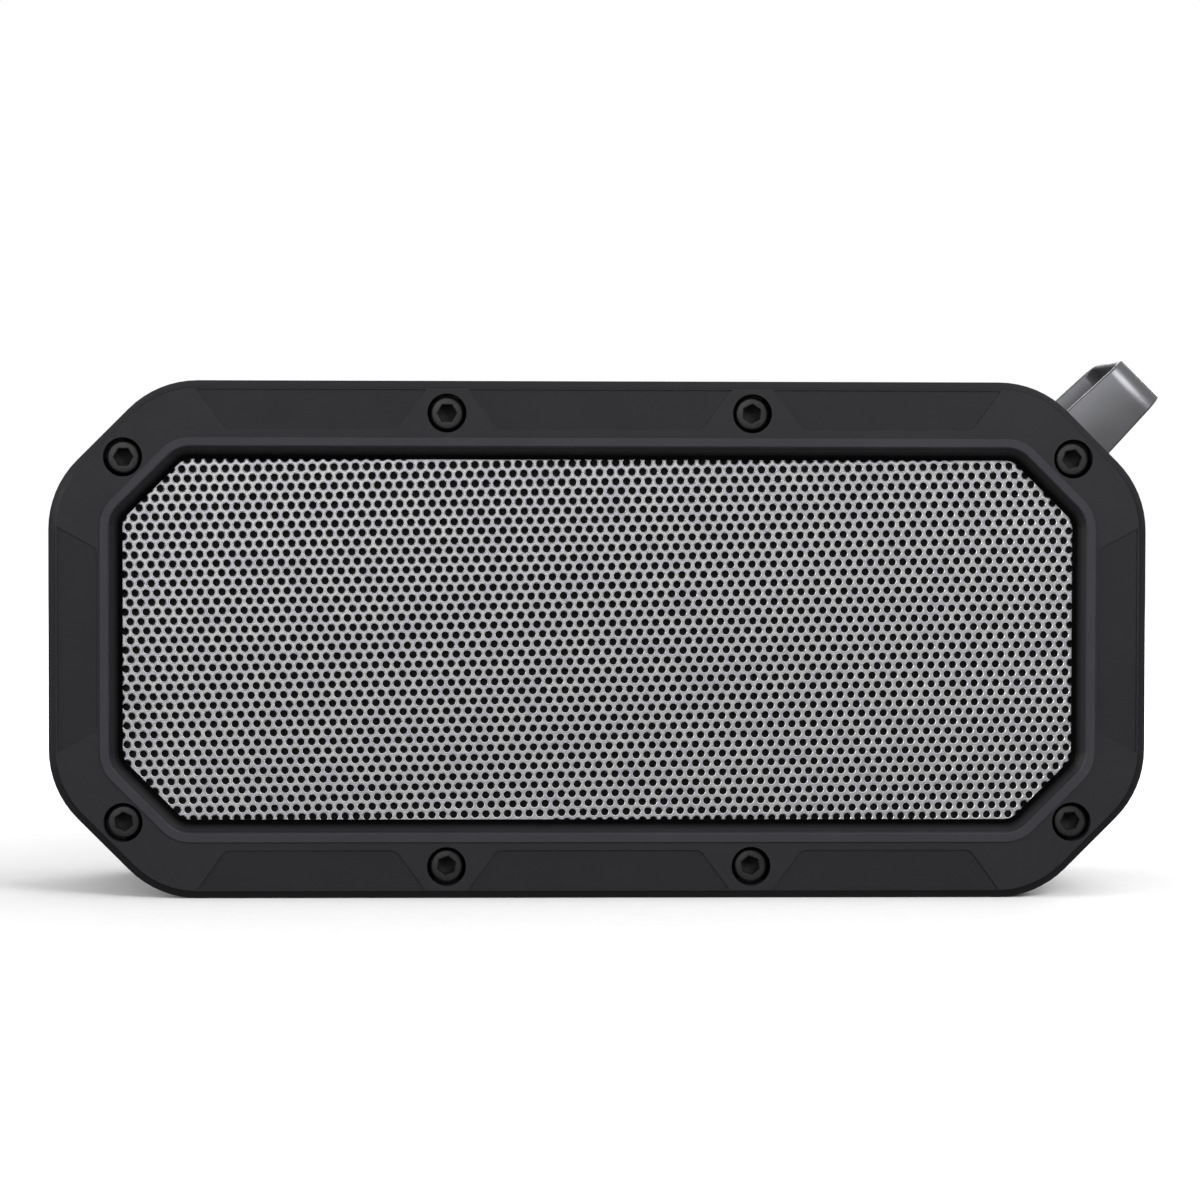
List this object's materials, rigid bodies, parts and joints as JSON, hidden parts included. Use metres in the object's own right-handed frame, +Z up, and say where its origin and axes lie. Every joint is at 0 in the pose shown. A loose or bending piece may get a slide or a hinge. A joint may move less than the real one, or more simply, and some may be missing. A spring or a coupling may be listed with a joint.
{
  "type": "shower speaker",
  "caption": "Rugged splash-proof wireless speaker: octagonal bolted frame, perforated metal grille on each face, top buttons, sealed side ports and a corner strap loop.",
  "frame": {"origin": "middle of the rubber foot's underside, on the surface the speaker stands on", "axes": "+X to the listener's right, -Y out of the front grille towards the listener, +Z up"},
  "size_m": [0.1558, 0.046, 0.0754],
  "materials": {
    "bezel": "soft-touch moulded",
    "shell": "soft-touch moulded",
    "grille": "perforated sheet",
    "cloth": "fine acoustic mesh",
    "black_screw": "black oxide",
    "loop": "gloss moulded",
    "rubber": "matt",
    "button": "soft-touch moulded",
    "board": "solder mask",
    "component": "moulded package",
    "socket": "tinned",
    "jack": "moulded",
    "steel": "zinc plated",
    "ferrite": "ferrite",
    "cone": "pressed pulp",
    "copper": "enamelled copper winding",
    "brass": "knurled",
    "baffle": "moulded",
    "battery": "shrink wrap",
    "lamp": "clear light pipe",
    "silicone": "silicone",
    "spider_cloth": "resin-treated cloth"
  },
  "bodies": {
    "housing": {"front_bezel": "bezel", "front_grille": "grille", "front_grille_cloth": "cloth", "front_seal": "silicone", "front_baffle": "baffle", "rear_bezel": "bezel", "rear_grille": "grille", "rear_grille_cloth": "cloth", "rear_seal": "silicone", "rear_baffle": "baffle", "case_screws": "black_screw", "threaded_inserts": "brass", "middle_shell": "shell", "strap_loop": "loop", "strap_loop_screws": "black_screw", "rubber_foot": "rubber", "left_driver_frame": "steel", "left_top_plate": "steel", "left_magnet": "ferrite", "left_yoke": "steel", "left_spider": "spider_cloth", "left_surround": "rubber", "right_driver_frame": "steel", "right_top_plate": "steel", "right_magnet": "ferrite", "right_yoke": "steel", "right_spider": "spider_cloth", "right_surround": "rubber", "driver_screws": "steel", "passive_radiator_surround": "rubber", "button_board": "board", "button_switches": "socket", "button_seal": "silicone", "main_board": "board", "board_components": "component", "board_screws": "steel", "usb_socket": "socket", "audio_jack": "jack", "status_light": "lamp", "port_cover_pin": "steel", "battery_tray": "baffle", "battery_pack": "battery", "battery_strap": "baffle"},
    "power_key": {"power_button": "button", "power_switch_plunger": "jack"},
    "volume_down_key": {"volume_down_button": "button", "volume_down_switch_plunger": "jack"},
    "play_key": {"play_button": "button", "play_switch_plunger": "jack"},
    "volume_up_key": {"volume_up_button": "button", "volume_up_switch_plunger": "jack"},
    "port_flap": {"port_cover": "rubber"},
    "left_cone_body": {"left_cone": "cone", "left_voice_coil": "copper", "left_dust_cap": "cone"},
    "right_cone_body": {"right_cone": "cone", "right_voice_coil": "copper", "right_dust_cap": "cone"},
    "passive_radiator_body": {"passive_radiator_plate": "baffle", "passive_radiator_weight": "steel"}
  },
  "joints": [
    {"name": "power_press", "type": "slide", "parent": "housing", "child": "power_key", "axis": [0, 0, -1], "range_m": [0, 0.0004], "stiffness_N_per_m": 2000},
    {"name": "volume_down_press", "type": "slide", "parent": "housing", "child": "volume_down_key", "axis": [0, 0, -1], "range_m": [0, 0.0004], "stiffness_N_per_m": 2000},
    {"name": "play_press", "type": "slide", "parent": "housing", "child": "play_key", "axis": [0, 0, -1], "range_m": [0, 0.0004], "stiffness_N_per_m": 2000},
    {"name": "volume_up_press", "type": "slide", "parent": "housing", "child": "volume_up_key", "axis": [0, 0, -1], "range_m": [0, 0.0004], "stiffness_N_per_m": 2000},
    {"name": "port_cover_swing", "type": "hinge", "parent": "housing", "child": "port_flap", "pos_m": [-0.0743, 0.0044, 0.022], "axis": [0, -1, 0], "range_deg": [0, 110]},
    {"name": "left_cone_throw", "type": "slide", "parent": "housing", "child": "left_cone_body", "axis": [0, -1, 0], "range_m": [-0.0015, 0.0015], "stiffness_N_per_m": 1500, "deforming": ["left_surround", "left_spider"]},
    {"name": "right_cone_throw", "type": "slide", "parent": "housing", "child": "right_cone_body", "axis": [0, -1, 0], "range_m": [-0.0015, 0.0015], "stiffness_N_per_m": 1500, "deforming": ["right_surround", "right_spider"]},
    {"name": "passive_radiator_throw", "type": "slide", "parent": "housing", "child": "passive_radiator_body", "axis": [0, 1, 0], "range_m": [-0.002, 0.002], "stiffness_N_per_m": 900, "deforming": ["passive_radiator_surround"]}
  ]
}
